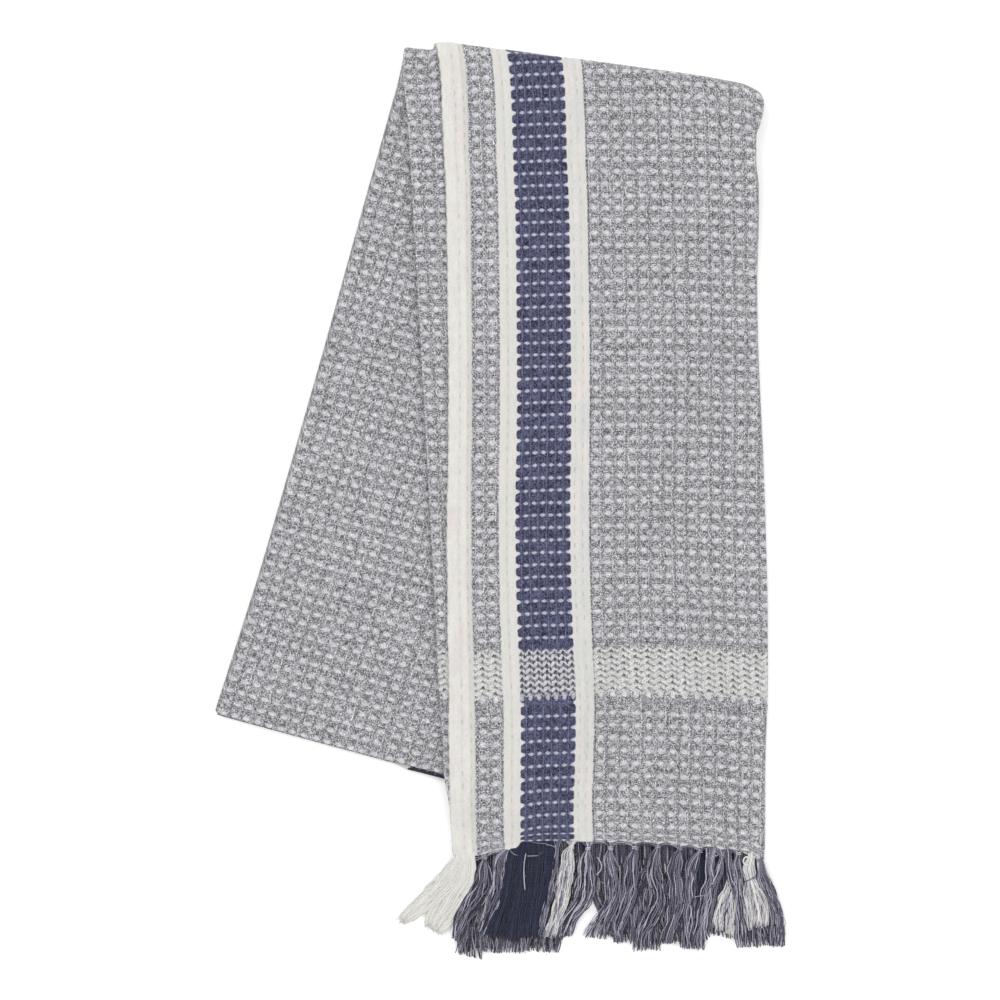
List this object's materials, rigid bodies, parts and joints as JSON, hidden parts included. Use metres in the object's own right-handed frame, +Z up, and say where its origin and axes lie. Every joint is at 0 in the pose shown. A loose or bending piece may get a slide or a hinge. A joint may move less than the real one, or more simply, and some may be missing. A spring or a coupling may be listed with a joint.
{
  "type": "dish towel",
  "caption": "Textured woven cotton dish towel with border stripes, folded in three, doubled back under itself and laid flat, with a knotted fringe at one end.",
  "frame": {"origin": "on the surface the towel lies on, under the middle of its outline in plan", "axes": "+Z up out of the surface, +Y along the front half from the fringe to the crosswise fold, +X to the right across the stripes"},
  "size_m": [0.2528, 0.4064, 0.0104],
  "materials": {
    "cloth": "matte textured cotton, slate and white yarns, off-white and navy stripes",
    "fringe": "matte loose cotton yarn, off-white, navy and slate"
  },
  "bodies": {
    "root": {"cloth": "cloth", "fringe": "fringe"}
  },
  "joints": []
}
